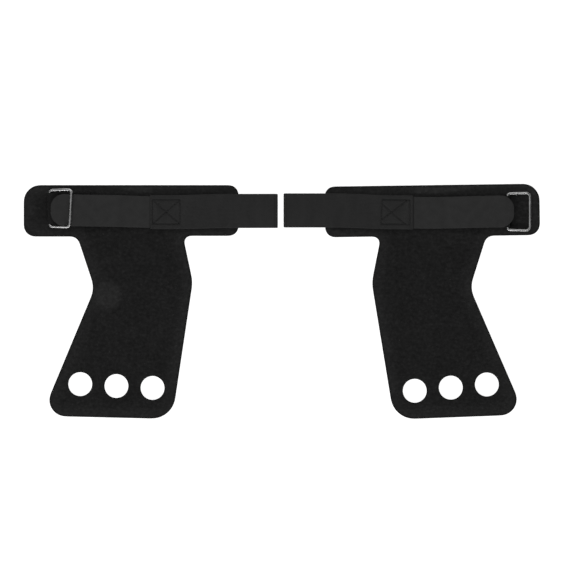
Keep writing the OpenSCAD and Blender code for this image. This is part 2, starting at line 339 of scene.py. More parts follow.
class Shader:
    """A small helper that builds one node material."""

    def __init__(self, name, roughness, specular=0.5, metallic=0.0):
        self.material = bpy.data.materials.new(name)
        self.material.use_nodes = True
        self.tree = self.material.node_tree
        self.out = self.tree.nodes["Principled BSDF"]
        self.put(self.out, "Roughness", roughness)
        self.put(self.out, "Specular IOR Level", specular)
        self.put(self.out, "Metallic", metallic)
        places = self.add("ShaderNodeAttribute")
        places.attribute_name = "cloth"
        self.place = places.outputs["Vector"]

    def add(self, kind, **inputs):
        node = self.tree.nodes.new(kind)
        for key, value in inputs.items():
            self.put(node, key, value)
        return node

    def put(self, node, key, value):
        """Sets an input to a number, or links it to a socket."""
        socket = node.inputs[int(key[1:])] if key[0] == "i" and key[1:].isdigit() else node.inputs[key]
        if isinstance(value, bpy.types.NodeSocket):
            self.tree.links.new(value, socket)
        else:
            socket.default_value = value

    def math(self, operation, a, b=0.0, c=0.0):
        node = self.add("ShaderNodeMath", i0=a, i1=b, i2=c)
        node.operation = operation
        return node.outputs[0]

    def axes(self):
        """Distance along and across the cloth, in millimetres."""
        split = self.add("ShaderNodeSeparateXYZ", Vector=self.place)
        return split.outputs[0], split.outputs[1]

    def grain(self, size, detail=4.0, rough=0.6, stretch=(1, 1, 1), turn=0.0):
        """Noise from 0 to 1 with features of about size millimetres."""
        place = self.add("ShaderNodeMapping", Vector=self.place, Scale=stretch, Rotation=(0, 0, turn))
        noise_node = self.add("ShaderNodeTexNoise", Vector=place.outputs[0], Scale=1 / size,
                              Detail=detail, Roughness=rough)
        return noise_node.outputs["Fac"]

    def blend_of(self, *parts):
        """Weighted sum of (weight, socket) pairs."""
        total = self.math("MULTIPLY", parts[0][1], parts[0][0])
        for weight, socket in parts[1:]:
            total = self.math("MULTIPLY_ADD", socket, weight, total)
        return total

    def tones(self, socket, *stops):
        """Greys along a ramp: stops are (place, grey)."""
        node = self.add("ShaderNodeValToRGB", Fac=socket)
        ramp = node.color_ramp
        while len(ramp.elements) < len(stops):
            ramp.elements.new(0.5)
        for element, (place, grey) in zip(ramp.elements, stops):
            element.position = place
            element.color = (grey, grey, grey, 1)
        return node.outputs[0]

    def span(self, socket, low, high):
        """Stretches 0 to 1 over low to high."""
        return self.add("ShaderNodeMapRange", Value=socket, i3=low, i4=high).outputs[0]

    def lighten(self, colour, amount, share):
        """Mixes white into a colour by share, at most amount."""
        node = self.tree.nodes.new("ShaderNodeMix")
        node.data_type = "RGBA"
        self.put(node, "i0", self.math("MULTIPLY", share, amount))
        self.put(node, "i6", colour)
        self.put(node, "i7", (1, 1, 1, 1))
        return node.outputs[2]

    def finish(self, colour, roughness=None, height=None, depth=0.0, strength=1.0):
        self.put(self.out, "Base Color", colour)
        if roughness is not None:
            self.put(self.out, "Roughness", roughness)
        if height is not None:
            bump = self.add("ShaderNodeBump", Height=height, Distance=depth * MM, Strength=strength)
            self.put(self.out, "Normal", bump.outputs[0])
        return self.material


def suede_material():
    """Short-napped microfibre: crumbly mottling, brushed streaks, stray light fibres, and a paler bloom
    where the nap has wear, which on the cuff strip above the strap is painted light."""
    s = Shader("microfibre_suede", 0.95, specular=SUEDE_SPECULAR)
    s.put(s.out, "Sheen Weight", 0.03)
    s.put(s.out, "Sheen Roughness", 0.6)
    crumbs = s.grain(2.7, detail=3, rough=0.75)
    brushed = s.grain(2.2, detail=3, rough=0.65, stretch=(0.45, 1, 1), turn=0.05)
    cloud = s.grain(22, detail=2)
    nap = s.grain(0.5, detail=5, rough=0.8)
    mixed = s.blend_of((0.42, crumbs), (0.26, brushed), (0.12, cloud), (0.2, nap))
    colour = s.tones(mixed, (0.36, SUEDE * 0.5), (0.5, SUEDE), (0.64, SUEDE * 1.8))
    fibres = s.grain(1.3, detail=1)
    colour = s.lighten(colour, 0.03, s.span(fibres, -10.0, 3.6))
    # This attribute carries wear and, on the cuff strip above the strap, painted light; both lighten the
    # colour below
    wear_and_painted_light = s.add("ShaderNodeAttribute")
    wear_and_painted_light.attribute_name = "wear_and_painted_light"
    patchy = s.math("MULTIPLY", wear_and_painted_light.outputs["Fac"], s.span(crumbs, 0.6, 1.3))
    colour = s.lighten(colour, 0.014, patchy)
    height = s.blend_of((0.4, crumbs), (0.25, brushed), (0.35, nap))
    return s.finish(colour, s.span(mixed, 0.84, 1.0), height, depth=0.6, strength=0.8)


def cut_edge_material():
    """The sheet's raw cut edge: packed fibres, darker than the nap."""
    s = Shader("microfibre_cut_edge", 0.97, specular=SUEDE_SPECULAR)
    fibres = s.grain(0.5, detail=5, rough=0.8)
    patches = s.grain(5, detail=3)
    mixed = s.blend_of((0.6, fibres), (0.4, patches))
    colour = s.tones(mixed, (0.3, SUEDE * 0.3), (0.7, SUEDE))
    return s.finish(colour, s.span(fibres, 0.88, 1.0), fibres, depth=0.4, strength=0.8)


def elastic_material():
    """Woven elastic: ribs along the band, crossed by fine yarns."""
    s = Shader("ribbed_elastic", 0.8, specular=CLOTH_SPECULAR)
    along, across = s.axes()
    row = s.math("FLOOR", s.math("DIVIDE", across, RIB_PITCH))
    shift = s.math("MULTIPLY", s.math("MODULO", row, 2.0), 0.5)
    yarn_phase = s.math("ADD", s.math("DIVIDE", along, 0.8), shift)
    yarn = s.math("ABSOLUTE", s.math("SINE", s.math("MULTIPLY", yarn_phase, pi)))
    rib = s.math("COSINE", s.math("MULTIPLY", across, 2 * pi / RIB_PITCH))
    rib = s.span(rib, 0.5, 1.0)
    fuzz = s.grain(0.35, detail=5, rough=0.8)
    tone = s.grain(9, detail=3, stretch=(1, 0.3, 1))
    mixed = s.blend_of((0.25, yarn), (0.2, rib), (0.25, fuzz), (0.3, tone))
    colour = s.tones(mixed, (0.25, ELASTIC * 0.55), (0.52, ELASTIC), (0.8, ELASTIC * 1.45))
    height = s.blend_of((0.6, s.math("MULTIPLY", yarn, rib)), (0.4, fuzz))
    return s.finish(colour, s.span(fuzz, 0.72, 0.92), height, depth=0.28, strength=0.75)


def woven_material(name, base, pitch, specular, rough_low, rough_high, depth):
    """Plain weave: yarns that pass over and under by turns."""
    s = Shader(name, 0.8, specular=specular)
    along, across = s.axes()
    warp = s.math("SINE", s.math("MULTIPLY", along, pi / pitch))
    weft = s.math("SINE", s.math("MULTIPLY", across, pi / pitch))
    weave = s.span(s.math("MULTIPLY", warp, weft), 0.5, 1.0)
    fuzz = s.grain(0.3, detail=5, rough=0.8)
    tone = s.grain(7, detail=3)
    mixed = s.blend_of((0.35, weave), (0.25, fuzz), (0.4, tone))
    colour = s.tones(mixed, (0.25, base * 0.6), (0.5, base), (0.78, base * 1.4))
    height = s.blend_of((0.7, weave), (0.3, fuzz))
    return s.finish(colour, s.span(fuzz, rough_low, rough_high), height, depth=depth, strength=0.7)


def thread_material():
    """Twisted polyester thread, a little glossier than the cloth."""
    s = Shader("sewing_thread", 0.55, specular=0.35)
    along, across = s.axes()
    twist = s.math("SINE", s.math("MULTIPLY", s.math("ADD", along, across), pi / 0.22))
    ply = s.span(twist, 0.5, 1.0)
    fuzz = s.grain(0.3, detail=4)
    mixed = s.blend_of((0.6, ply), (0.4, fuzz))
    colour = s.tones(mixed, (0.3, THREAD * 0.5), (0.8, THREAD * 1.6))
    return s.finish(colour, s.span(fuzz, 0.45, 0.7), ply, depth=0.12, strength=0.6)


def hook_material():
    """Moulded nylon hooks."""
    s = Shader("nylon_hooks", 0.45, specular=0.4)
    tone = s.grain(3, detail=3)
    colour = s.tones(tone, (0.3, HOOK_TAPE * 0.8), (0.7, HOOK_TAPE * 1.5))
    return s.finish(colour, s.span(tone, 0.35, 0.55), tone, depth=0.05, strength=0.4)


def metal_material():
    """Polished nickel plate with faint drawing lines, rubbed duller in places."""
    s = Shader("nickel_plate", 0.2, metallic=1.0)
    lines = s.grain(0.5, detail=4, rough=0.7, stretch=(0.04, 1.6, 1))
    rub = s.grain(4, detail=5, rough=0.65)
    pits = s.grain(0.35, detail=2)
    colour = s.tones(rub, (0.3, 0.36), (0.65, 0.55))
    roughness = s.blend_of((0.22, rub), (0.1, lines))
    height = s.blend_of((0.6, lines), (0.4, pits))
    return s.finish(colour, s.span(roughness, 0.08, 0.6), height, depth=0.03, strength=0.35)


# ---- the sheet

# Wear of the nap, as a share of 1. Near every cut edge it starts WEAR_START inside the edge and
# fades out over WEAR_FADE
EDGE_WEAR = 0.55
WEAR_START = 1.5
WEAR_FADE = 12.0
# Painted light on the strip of cuff above the strap, which lightens the strap's shadow there, beyond this
# distance from the strap's centre line
CUFF_PAINTED_LIGHT = {"left": 0.4, "right": 0.65}
CUFF_LIGHT_FROM = 13.0
# The left palm has one spot where the nap is rubbed smooth
RUBBED_SPOT = (-149.8, 5.3)
SPOT_WEAR = 0.9
SPOT_R = 12.0
SPOT_FADE = 6.0

# The cut edge's rounding: (distance inside the outline, depth below the sheet's face)
RIM = ((0.45, 0.0), (0.18, 0.08), (0.04, 0.28), (0.0, 0.6))
# The sheet is pressed thinner near its edges, by this much over this width
EDGE_THIN = 0.10
EDGE_THIN_WIDTH = 3
# How far the cut edge strays in and out, and the size of that unevenness
CUT_ROUGH = 0.05
CUT_ROUGH_SIZE = 1.7
# Mesh steps: along the outline, over the sheet, and between rows where the sheet bends
OUTLINE_STEP = 1.5
GRID = 2.3
FLEX_GRID = 1.1
# Least distance from the rim to the first mesh points inside it
RIM_GAP = 0.9
# Length of the sheet that bends at the wrist, and how far its close rows go past it
FLEX_LENGTH = 10.0
FLEX_MARGIN = 3

# The sheet lies flat under the strap and loosens below LOOSE_Y, over a length of LOOSE_FADE. There it
# lies LOOSE_GAP above the table, with waves of (height, size, seed)
LOOSE_Y = 48
LOOSE_FADE = 40
LOOSE_GAP = 0.16
LOOSE_WAVES = ((0.22, 34, 3.1), (0.10, 15, 8.4))
# Its finger end stands up by END_RISE, from END_Y down, over a length of END_FADE
END_RISE = 0.45
END_Y = -40
END_FADE = 60


def top_loops(nodes):
    """Closed outlines around the top faces of flat nodes that lie side by side."""
    count = {}
    for node in nodes:
        mesh = frame["nodes"][node].data
        top = max(v.co.z for v in mesh.vertices)
        for polygon in mesh.polygons:
            if min(mesh.vertices[i].co.z for i in polygon.vertices) < top - 1e-6:
                continue
            for edge in polygon.edge_keys:
                ends = [mesh.vertices[i].co / MM for i in edge]
                key = frozenset((round(p.x, 2), round(p.y, 2)) for p in ends)
                count[key] = count.get(key, 0) + 1
    joined = {}
    for key, times in count.items():
        if times == 1 and len(key) == 2:
            a, b = key
            joined.setdefault(a, []).append(b)
            joined.setdefault(b, []).append(a)
    loops = []
    while joined:
        start = next(iter(joined))
        loop, last, here = [start], None, start
        while True:
            after = next(p for p in joined[here] if p != last)
            joined.pop(here)
            if after == start:
                break
            loop.append(after)
            last, here = here, after
        loops.append([Vector(p) for p in loop])
    return sorted(loops, key=length_around, reverse=True)


def length_around(loop):
    return sum((b - a).length for a, b in zip(loop, loop[1:] + loop[:1]))


def signed_area(loop):
    return sum(a.x * b.y - b.x * a.y for a, b in zip(loop, loop[1:] + loop[:1])) / 2


def even_loop(loop, step):
    """A closed outline at even steps, with its facets smoothed away."""
    made = resample(loop + loop[:1], step)[:-1]
    for _ in range(2):
        made = [made[i - 1] * 0.25 + p * 0.5 + made[(i + 1) % len(made)] * 0.25
                for i, p in enumerate(made)]
    return made


def round_loop(loop, steps=56):
    """The true circle through a hole's corners, running the other way round."""
    centre = sum(loop, Vector((0, 0))) / len(loop)
    radius = max((p - centre).length for p in loop)
    angles = [-2 * pi * k / steps for k in range(steps)]
    return [centre + radius * Vector((cos(a), sin(a))) for a in angles]


def inside(loop, points):
    """Which of the points, an array, lie inside a closed outline."""
    within = np.zeros(len(points), bool)
    for a, b in zip(loop, loop[1:] + loop[:1]):
        if a.y == b.y:
            continue
        crossed = (a.y > points[:, 1]) != (b.y > points[:, 1])
        at = a.x + (points[:, 1] - a.y) * (b.x - a.x) / (b.y - a.y)
        within ^= crossed & (points[:, 0] < at)
    return within


def inner_normals(loop):
    """Directions into the cloth, for an outline with the cloth on its left."""
    made = []
    for i in range(len(loop)):
        along = (loop[(i + 1) % len(loop)] - loop[i - 1]).normalized()
        made.append(Vector((-along.y, along.x)))
    return made


def grid_points(outline, holes, low_y, high_y):
    """Points that fill the sheet, in closer rows where it bends between low_y and high_y.

    Elsewhere a row is 0.87 of GRID from the next, which makes even triangles.
    """
    xs, ys = [p.x for p in outline], [p.y for p in outline]
    points, y, row = [], min(ys) + GRID / 2, 0
    while y < max(ys):
        x = min(xs) + (GRID / 2 if row % 2 else 0)
        while x < max(xs):
            points.append((x, y))
            x += GRID
        y += FLEX_GRID if low_y < y < high_y else GRID * 0.87
        row += 1
    points = np.array(points)
    keep = inside(outline, points)
    for hole in holes:
        keep &= ~inside(hole, points)
    return points[keep]


def sheet_lift(x, y):
    """How far the sheet's lower face lies above the table: flat under the strap, and a little
    wavy in the palm, whose finger end stands up by part of a millimetre."""
    loose = smooth((LOOSE_Y - y) / LOOSE_FADE)
    rise = END_RISE * smooth((END_Y - y) / END_FADE) * (0.6 + 0.4 * ripple(x, y, 60, 5.5))
    return max(0.0, loose * (LOOSE_GAP + waves(x, y, LOOSE_WAVES)) + rise)


def nearest(borders):
    """A finder of the border point nearest to a place."""
    finder = kdtree.KDTree(sum(len(border) for border in borders))
    for i, p in enumerate(p for border in borders for p in border):
        finder.insert((p.x, p.y, 0), i)
    finder.balance()
    return finder


def nap_wear_and_light(side, p, edge_gap):
    """How much wear the nap has, most near the edges and in the left palm's smooth spot, plus painted
    light on the cuff strip above the strap.
    """
    off_rim = smooth(edge_gap / WEAR_START)
    edge_wear_and_cuff_light = EDGE_WEAR * (1 - smooth((edge_gap - WEAR_START) / WEAR_FADE)) * off_rim
    past_strap = p.y - strap_y(side, SIGN[side] * p.x) - CUFF_LIGHT_FROM
    # The cuff strip above the strap gets painted light that lightens the strap's shadow, kept in the same
    # value as the wear
    edge_wear_and_cuff_light += CUFF_PAINTED_LIGHT[side] * smooth(past_strap / 3) * off_rim
    spot = 0.0
    if side == "left":
        far = (Vector((p.x, p.y)) - Vector(RUBBED_SPOT)).length
        spot = SPOT_WEAR * smooth((SPOT_R + SPOT_FADE / 2 - far) / SPOT_FADE)
    return max(edge_wear_and_cuff_light, spot)


def flex_line(side):
    """Where the sheet's bend starts, at the cuff, and where it ends, at the palm."""
    axis = Vector(JOINTS[side + "_palm_flex"]["axis"])
    towards_palm = axis.cross(Vector((0, 0, 1))).normalized()
    if towards_palm.y > 0:
        towards_palm.negate()
    reach = towards_palm * (FLEX_LENGTH / 2)
    middle = joint_place(side + "_palm_flex")
    return middle - reach, middle + reach


def sheet_borders(nodes):
    """The sheet's outline and then its round holes, each with the cloth on its left."""
    loops = top_loops(nodes)
    outline = even_loop(loops[0], OUTLINE_STEP)
    if signed_area(outline) < 0:
        outline.reverse()
    return [outline] + [round_loop(loop) for loop in loops[1:]]


def fill_borders(borders, filling):
    """Points and triangles that fill the first border and leave the others open.

    The borders' own points come first, in their order.
    """
    flat_points = [p for border in borders for p in border] + filling
    edges, base = [], 0
    for border in borders:
        size = len(border)
        edges += [(base + i, base + (i + 1) % size) for i in range(size)]
        base += size
    made = geometry.delaunay_2d_cdt(flat_points, edges, [], 1, 1e-6)
    points, triangles = made[0], made[2]
    middles = np.array([sum((points[i] for i in t), Vector((0, 0))) / 3 for t in triangles])
    keep = np.ones(len(triangles), bool)
    for hole in borders[1:]:
        keep &= ~inside(hole, middles)
    return points, [t for t, kept in zip(triangles, keep) if kept]


def make_sheet(side, suede, cut_edge):
    """Cuff, bend and palm in one sheet: two faces, joined by a rim round the outline and each hole."""
    nodes = [side + "_cuff", side + "_wrist_flex", side + "_palm"]
    low, high = node_span(nodes[0])
    thick = high.z - low.z
    borders = sheet_borders(nodes)
    normals = [inner_normals(border) for border in borders]
    inset = [[p + n * RIM[0][0] for p, n in zip(border, normal)]
             for border, normal in zip(borders, normals)]
    start, stop = flex_line(side)
    filling = grid_points(inset[0], inset[1:], stop.y - FLEX_MARGIN, start.y + FLEX_MARGIN)
    near, near_outline = nearest(inset), nearest(inset[:1])
    filling = [Vector(p) for p in filling if near.find((p[0], p[1], 0))[2] > RIM_GAP]
    points, triangles = fill_borders(inset, filling)

    verts, wear_and_painted_light = [], []
    for p in points:
        gap = near.find((p.x, p.y, 0))[2]
        thin = EDGE_THIN * smooth(1 - gap / EDGE_THIN_WIDTH)
        verts.append((p.x, p.y, sheet_lift(p.x, p.y) + thick - thin))
        # Each vertex's wear, with painted light on the cuff strip above the strap
        wear_and_painted_light.append(nap_wear_and_light(side, p, near_outline.find((p.x, p.y, 0))[2]))
    for p in points:
        verts.append((p.x, p.y, sheet_lift(p.x, p.y)))
    wear_and_painted_light += wear_and_painted_light
    total = len(points)
    faces = [tuple(t) for t in triangles]
    faces += [tuple(total + i for i in reversed(t)) for t in triangles]
    slots = [0] * len(faces)

    levels = [(d, thick - EDGE_THIN - h) for d, h in RIM[1:]]
    levels += [(d, h) for d, h in reversed(RIM[1:])]
    first = 0
    for border, normal in zip(borders, normals):
        size = len(border)
        rows = [list(range(first, first + size))]
        for offset, height in levels:
            rows.append(list(range(len(verts), len(verts) + size)))
            for p, n in zip(border, normal):
                rough = CUT_ROUGH * ripple(p.x, p.y, CUT_ROUGH_SIZE, height * 2)
                at = p + n * (offset + rough)
                verts.append((at.x, at.y, sheet_lift(p.x, p.y) + height))
                wear_and_painted_light.append(0.0)
        rows.append(list(range(total + first, total + first + size)))
        for a, b in zip(rows, rows[1:]):
            faces += faces_between(a, b)
            slots += [1] * size
        first += size
    obj = make_object(side + "_sheet", verts, faces, None, [suede, cut_edge], slots, wear_and_painted_light)
    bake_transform(obj)
    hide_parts(*nodes)


# ---- stitches

STITCH_PITCH = 2.7
STITCH_LENGTH = 2.25
THREAD_R = 0.26
# How high a stitch arches over its needle holes, and how far those lie below its seat
STITCH_ARCH = 0.30
STITCH_BED = 0.12
# How far a stitch's ends can stray from its row
STITCH_SKEW = 0.09
# How far below the cloth's face the stitches sit, in the box and in the other seams
BOX_SINK = 0.2
SEAM_SINK = 0.12
# Distance of the stitches inside the edge of their CAD node, in the box and in the other seams
BOX_INSET = 0.35
SEAM_INSET = 0.45
# As sewn, each box is shifted from its CAD node at its inner and outer end, and its inner side
# slants at its lower and upper corner
BOX_SHIFT = {"left": (0.4, -0.3), "right": (-1.2, -1.3)}
BOX_SLANT = {"left": (0.0, 0.0), "right": (-0.5, 0.7)}
# The right box's cross misses the corners. Its lines run from (x from the inner side, distance
# across) to this far short of the outer side
CROSS_FROM = ((-0.2, 7.4), (-0.4, -7.2))
CROSS_SHORT = (4, 2)
# Dents in the cloth at a row of stitches: (depth, width) of the pinch and of the wider hollow
PINCH = (0.26, 0.75)
HOLLOW = (0.13, 2.2)
# Share of those dents in the sewn elastic and in the webbing
BAND_DENT = 0.2
LOOP_DENT = 0.45


def line_between(a, b):
    return [Vector(a), Vector(b)]


def box_lines(side):
    """The box of stitches with its cross, as lines of (x outward, distance across).

    The left box's cross runs from corner to corner. The right one's misses the corners.
    """
    inner, outer = outward(side, side + "_box_stitching")
    low, high = node_span(side + "_box_stitching")
    half = (high.y - low.y) / 2 - BOX_INSET
    inner, outer = inner + BOX_SHIFT[side][0], outer + BOX_SHIFT[side][1]
    slant_low, slant_high = BOX_SLANT[side]
    corners = ((inner + slant_low, -half), (outer, -half), (outer, half), (inner + slant_high, half))
    if side == "left":
        cross = ((corners[0], corners[2]), (corners[3], corners[1]))
    else:
        cross = [((inner + x, v), (outer - short, end))
                 for (x, v), short, end in zip(CROSS_FROM, CROSS_SHORT, (-half, half))]
    lines = [line_between(a, b) for a, b in zip(corners, corners[1:] + corners[:1])]
    return lines + [line_between(a, b) for a, b in cross]


def seam_lines(side, node):
    """The four rows of stitches along the edges of a CAD stitching node."""
    inner, outer = outward(side, node)
    low, high = node_span(node)
    half = (high.y - low.y) / 2 - SEAM_INSET
    inner, outer = inner + SEAM_INSET, outer - SEAM_INSET
    corners = ((inner, -half), (outer, -half), (outer, half), (inner, half))
    return [line_between(a, b) for a, b in zip(corners, corners[1:] + corners[:1])]


def press(lines, x, v):
    """Depth of the dents that rows of stitches pull into cloth."""
    p = Vector((x, v))
    gap = 1e9
    for a, b in lines:
        share = clamp01((p - a).dot(b - a) / (b - a).length_squared)
        gap = min(gap, (p - a.lerp(b, share)).length)
    return sum(depth * exp(-(gap / width) ** 2) for depth, width in (PINCH, HOLLOW))


def thread_taper(u):
    """A stitch is thinner at its needle holes."""
    return 0.72 + 0.28 * sin(pi * u)


def stitches(side, lines, top_z, centre_y, sink):
    """Lockstitches along rows: each arches from its needle hole to the next, a little askew."""
    parts = []
    for number, (a, b) in enumerate(lines):
        span = (b - a).length
        count = max(1, round(span / STITCH_PITCH))
        along = (b - a).normalized()
        aside = Vector((-along.y, along.x))
        for k in range(count):
            middle = a + along * span * (k + 0.5) / count
            skew = STITCH_SKEW * ripple(k * 3.7, number * 5.1, 1.3, side == "left")
            points = []
            for m in range(7):
                t = m / 6 - 0.5
                at = middle + along * t * STITCH_LENGTH + aside * skew * t * 2
                height = top_z - sink + (STITCH_ARCH * (1 - (2 * t) ** 4) - STITCH_BED)
                points.append(Vector((SIGN[side] * at.x, centre_y(at.x) + at.y, height)))
            parts.append(tube(points, THREAD_R, 7, squash=0.8, taper=thread_taper))
    return parts


# ---- the elastic strap

# Corners, before they are softened, of the elastic's way down from the cuff to the table and of its
# way back up, in x from the cuff's edge. After the fold it runs level for FOLD_RUN
WAY_DOWN = (6, -0.4, -9, -14)
WAY_UP = (-5, 8)
FOLD_RUN = 4
# Where the left strap's stretch would begin and end, in x, when the strap is drawn; the strap isn't
# stretched
STRETCH_X = (-10, -80)
STRETCH_Z = 5
# Direction through the right fold, along which its cloth would pass from the wrist to the strap
FOLD_WAY = (-0.25, 0, 1)


def ribs(v):
    """Height of the elastic's ribs, at or below its face."""
    return RIB_DEPTH * (cos(2 * pi * v / RIB_PITCH) - 1) / 2


def weave_lift(v, s):
    """Slow unevenness of a cloth face."""
    return 0.05 * ripple(s, v, 9, 2.2)


def elastic_levels(side):
    """Heights of the elastic's centre: on the table, on the cuff and above the cuff."""
    base_low, base_high = node_span(side + "_elastic_base")
    leg_low, _ = node_span(side + "_elastic_end")
    half = ELASTIC_T / 2
    return base_low.z + half, base_high.z - half, leg_low.z + half


def make_elastic(side, elastic):
    """The elastic in two lengths that meet at the top of its fold."""
    table_z, cuff_z, leg_z = elastic_levels(side)
    fold_low, fold_high = node_span(side + "_elastic_fold")
    centre = (outward(side, side + "_elastic_fold")[1], (fold_low.z + fold_high.z) / 2)
    radius = (fold_high.z - fold_low.z - ELASTIC_T) / 2
    sewn_end = outward(side, side + "_elastic_base")[1]
    cuff_edge = outward(side, side + "_cuff")[0]
    end_x = outward(side, side + "_elastic_end")[1]
    half = (fold_high.y - fold_low.y) / 2
    seam = seam_lines(side, side + "_band_stitching")
    box = box_lines(side)
    centre_y = partial(strap_y, side)
    step = RIB_PITCH / RIB_STEPS

    def seam_dent(x, v):
        return BAND_DENT * press(seam, x, v) if x > cuff_edge else 0.0

    # The sewn length lies on the cuff, comes down to the table beyond it and turns up in the fold
    heights = (cuff_z, cuff_z, table_z, table_z)
    down = [(cuff_edge + dx, z) for dx, z in zip(WAY_DOWN, heights)]
    lower = [(sewn_end, cuff_z)] + down + [(centre[0], table_z)]
    path = resample(soften([Vector(p) for p in lower], 3), 1.0)[:-1] + arc(centre, radius, 270, 90, 14)
    sewn = band(side + "_elastic_sewn", side, path, half, ELASTIC_T, ELASTIC_EDGE, step, elastic, centre_y,
                top=lambda x, v, s: ribs(v) - seam_dent(x, v),
                bottom=lambda x, v, s: ribs(v) - 0.02, round_stop=0)
    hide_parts(side + "_elastic_base", side + "_elastic_fold")

    # The top length runs from the fold over the cuff to its end on the tab
    top_z = centre[1] + radius
    up = [(cuff_edge + dx, leg_z) for dx in WAY_UP]
    upper = [(centre[0], top_z), (centre[0] + FOLD_RUN, top_z)] + up + [(end_x, leg_z)]
    path = resample(soften([Vector(p) for p in upper], 3), 0.7)
    top = band(side + "_elastic_top", side, path, half, ELASTIC_T, ELASTIC_EDGE, step, elastic, centre_y,
               top=lambda x, v, s: ribs(v) + weave_lift(v, s) * smooth(s / 12) - press(box, x, v),
               bottom=lambda x, v, s: ribs(v), round_start=0)
    return sewn, top


def hold_elastic(side, sewn, top):
    """The left strap is drawn along and the right one is peeled back. On the left the sewn length goes
    with the wrist and the top length stays put; on the right the sewn length stays put and the top length
    goes with the strap. Where a stretch or a fold would start and stop is worked out, but nothing uses it."""
    wrist, strap = side + "_wrist", side + "_strap"
    y = strap_y(side, 0)
    if side == "left":
        start, stop = (Vector((x, y, STRETCH_Z)) for x in STRETCH_X)
        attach(sewn, wrist)
        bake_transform(top)
    else:
        fold_high = node_span(side + "_elastic_fold")[1]
        way = Vector(FOLD_WAY).normalized()
        start = Vector((fold_high.x, y, ELASTIC_T))
        stop = start + way * (fold_high.z - 2 * ELASTIC_T) * way.z
        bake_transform(sewn)
        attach(top, strap)
    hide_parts(side + "_elastic_leg", side + "_elastic_end")


# ---- the hook tab

# How much wider the tab's mesh is than the CAD tab, on each side, and the radius of its tip's corners
TAB_SPREAD = 0.3
TAB_CORNER = 11.5
# Height of the tab above the loop's stitching
TAB_CLEARANCE = 0.2
# Waves of the loose tab, as (height, size, seed). They start SLACK_FROM past the tab's start, over a
# length of SLACK_FADE
TAB_WAVES = ((0.10, 17, 6.3), (0.05, 6, 1.9))
SLACK_FROM = 30
SLACK_FADE = 12
# How far the tab's top face is drawn in
TAB_DRAWN_IN = 0.03
# How far before the loop, and before the ring's bar, the tab starts to climb and has climbed
LOOP_CLIMB = (17, 2)
BAR_CLIMB = (14, 2)
# The hooks stand in rows at HOOK_PITCH, HOOK_MARGIN inside the tab's edges. From HOOK_START on there
# are as many rows as fit in the tab's length less HOOK_SPARE
HOOK_PITCH = 1.55
HOOK_MARGIN = 1.5
HOOK_START = 2
HOOK_SPARE = 3
HOOK_R = 0.13
# How deep a hook's root sits in the backing
HOOK_ROOT = 0.05
# One hook: (forward in millimetres, share of the hooks' height)
HOOK_PROFILE = ((0.0, 0.0), (0.02, 0.45), (0.10, 0.78), (0.32, 0.86), (0.48, 0.66))


def tab_path(side):
    """Centre line of the tab's backing, with its start and tip.

    It lies low beside the elastic, and climbs over the loop's stitching and then over the bar.
    The left tab can be drawn, so it climbs that much sooner.
    """
    low, high = node_span(side + "_hook_tab")
    start, tip = outward(side, side + "_hook_tab")
    loop_start = outward(side, side + "_ring_loop")[0]
    bar = SIGN[side] * joint_place(side + "_ring_swivel").x
    draw = JOINTS["left_strap_draw"]["range_m"][1] / MM if side == "left" else 0
    loop_top = node_span(side + "_loop_stitching")[1].z
    levels = [low.z, loop_top + TAB_CLEARANCE, high.z - TAB_T]
    heights = [z + TAB_T - BACKING_T / 2 for z in levels]
    loop_from, loop_to = (loop_start - draw - before for before in LOOP_CLIMB)
    bar_from, bar_to = (bar - draw - before for before in BAR_CLIMB)
    points = ((start, heights[0]), (loop_from, heights[0]), (loop_to, heights[1]),
              (bar_from, heights[1]), (bar_to, heights[2]), (tip, heights[2]))
    return [Vector(p) for p in points], start, tip


def make_tab(side, tape, hooks):
    """The tab's backing, with a rounded tip, and the field of hooks under it."""
    points, start, tip = tab_path(side)
    low, high = node_span(side + "_hook_tab")
    half = (high.y - low.y) / 2 + TAB_SPREAD
    centre_y = partial(strap_y, side)
    line = soften(points, 3)

    def on_line(x):
        return Vector((x, np.interp(x, [p.x for p in line], [p.y for p in line])))

    body = resample([p for p in line if p.x < tip - TAB_CORNER] + [on_line(tip - TAB_CORNER)], 1.0)
    nose = [on_line(tip - TAB_CORNER * (1 - sin(radians(a)))) for a in range(6, 91, 6)]
    path = body + nose
    lengths = lengths_along(path)

    def width_at(s):
        left = max(0.0, lengths[-1] - s)
        if left >= TAB_CORNER:
            return 1.0
        round_off = sqrt(max(0.0, TAB_CORNER ** 2 - (TAB_CORNER - left) ** 2))
        return (half - TAB_CORNER + round_off) / half

    def top(x, v, s):
        slack = smooth((x - start - SLACK_FROM) / SLACK_FADE)
        return waves(s, v, TAB_WAVES) * slack - TAB_DRAWN_IN

    tab = band(side + "_tab", side, path, half, BACKING_T, TAB_EDGE, 0.8, tape, centre_y,
               width_at=width_at, top=top, round_start=TAB_END, round_stop=TAB_END)
    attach(tab, side + "_strap")
    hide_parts(side + "_hook_tab")
    field = make_hooks(side, path, lengths, half, width_at, centre_y, hooks)
    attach(field, side + "_strap")
    return tab, field


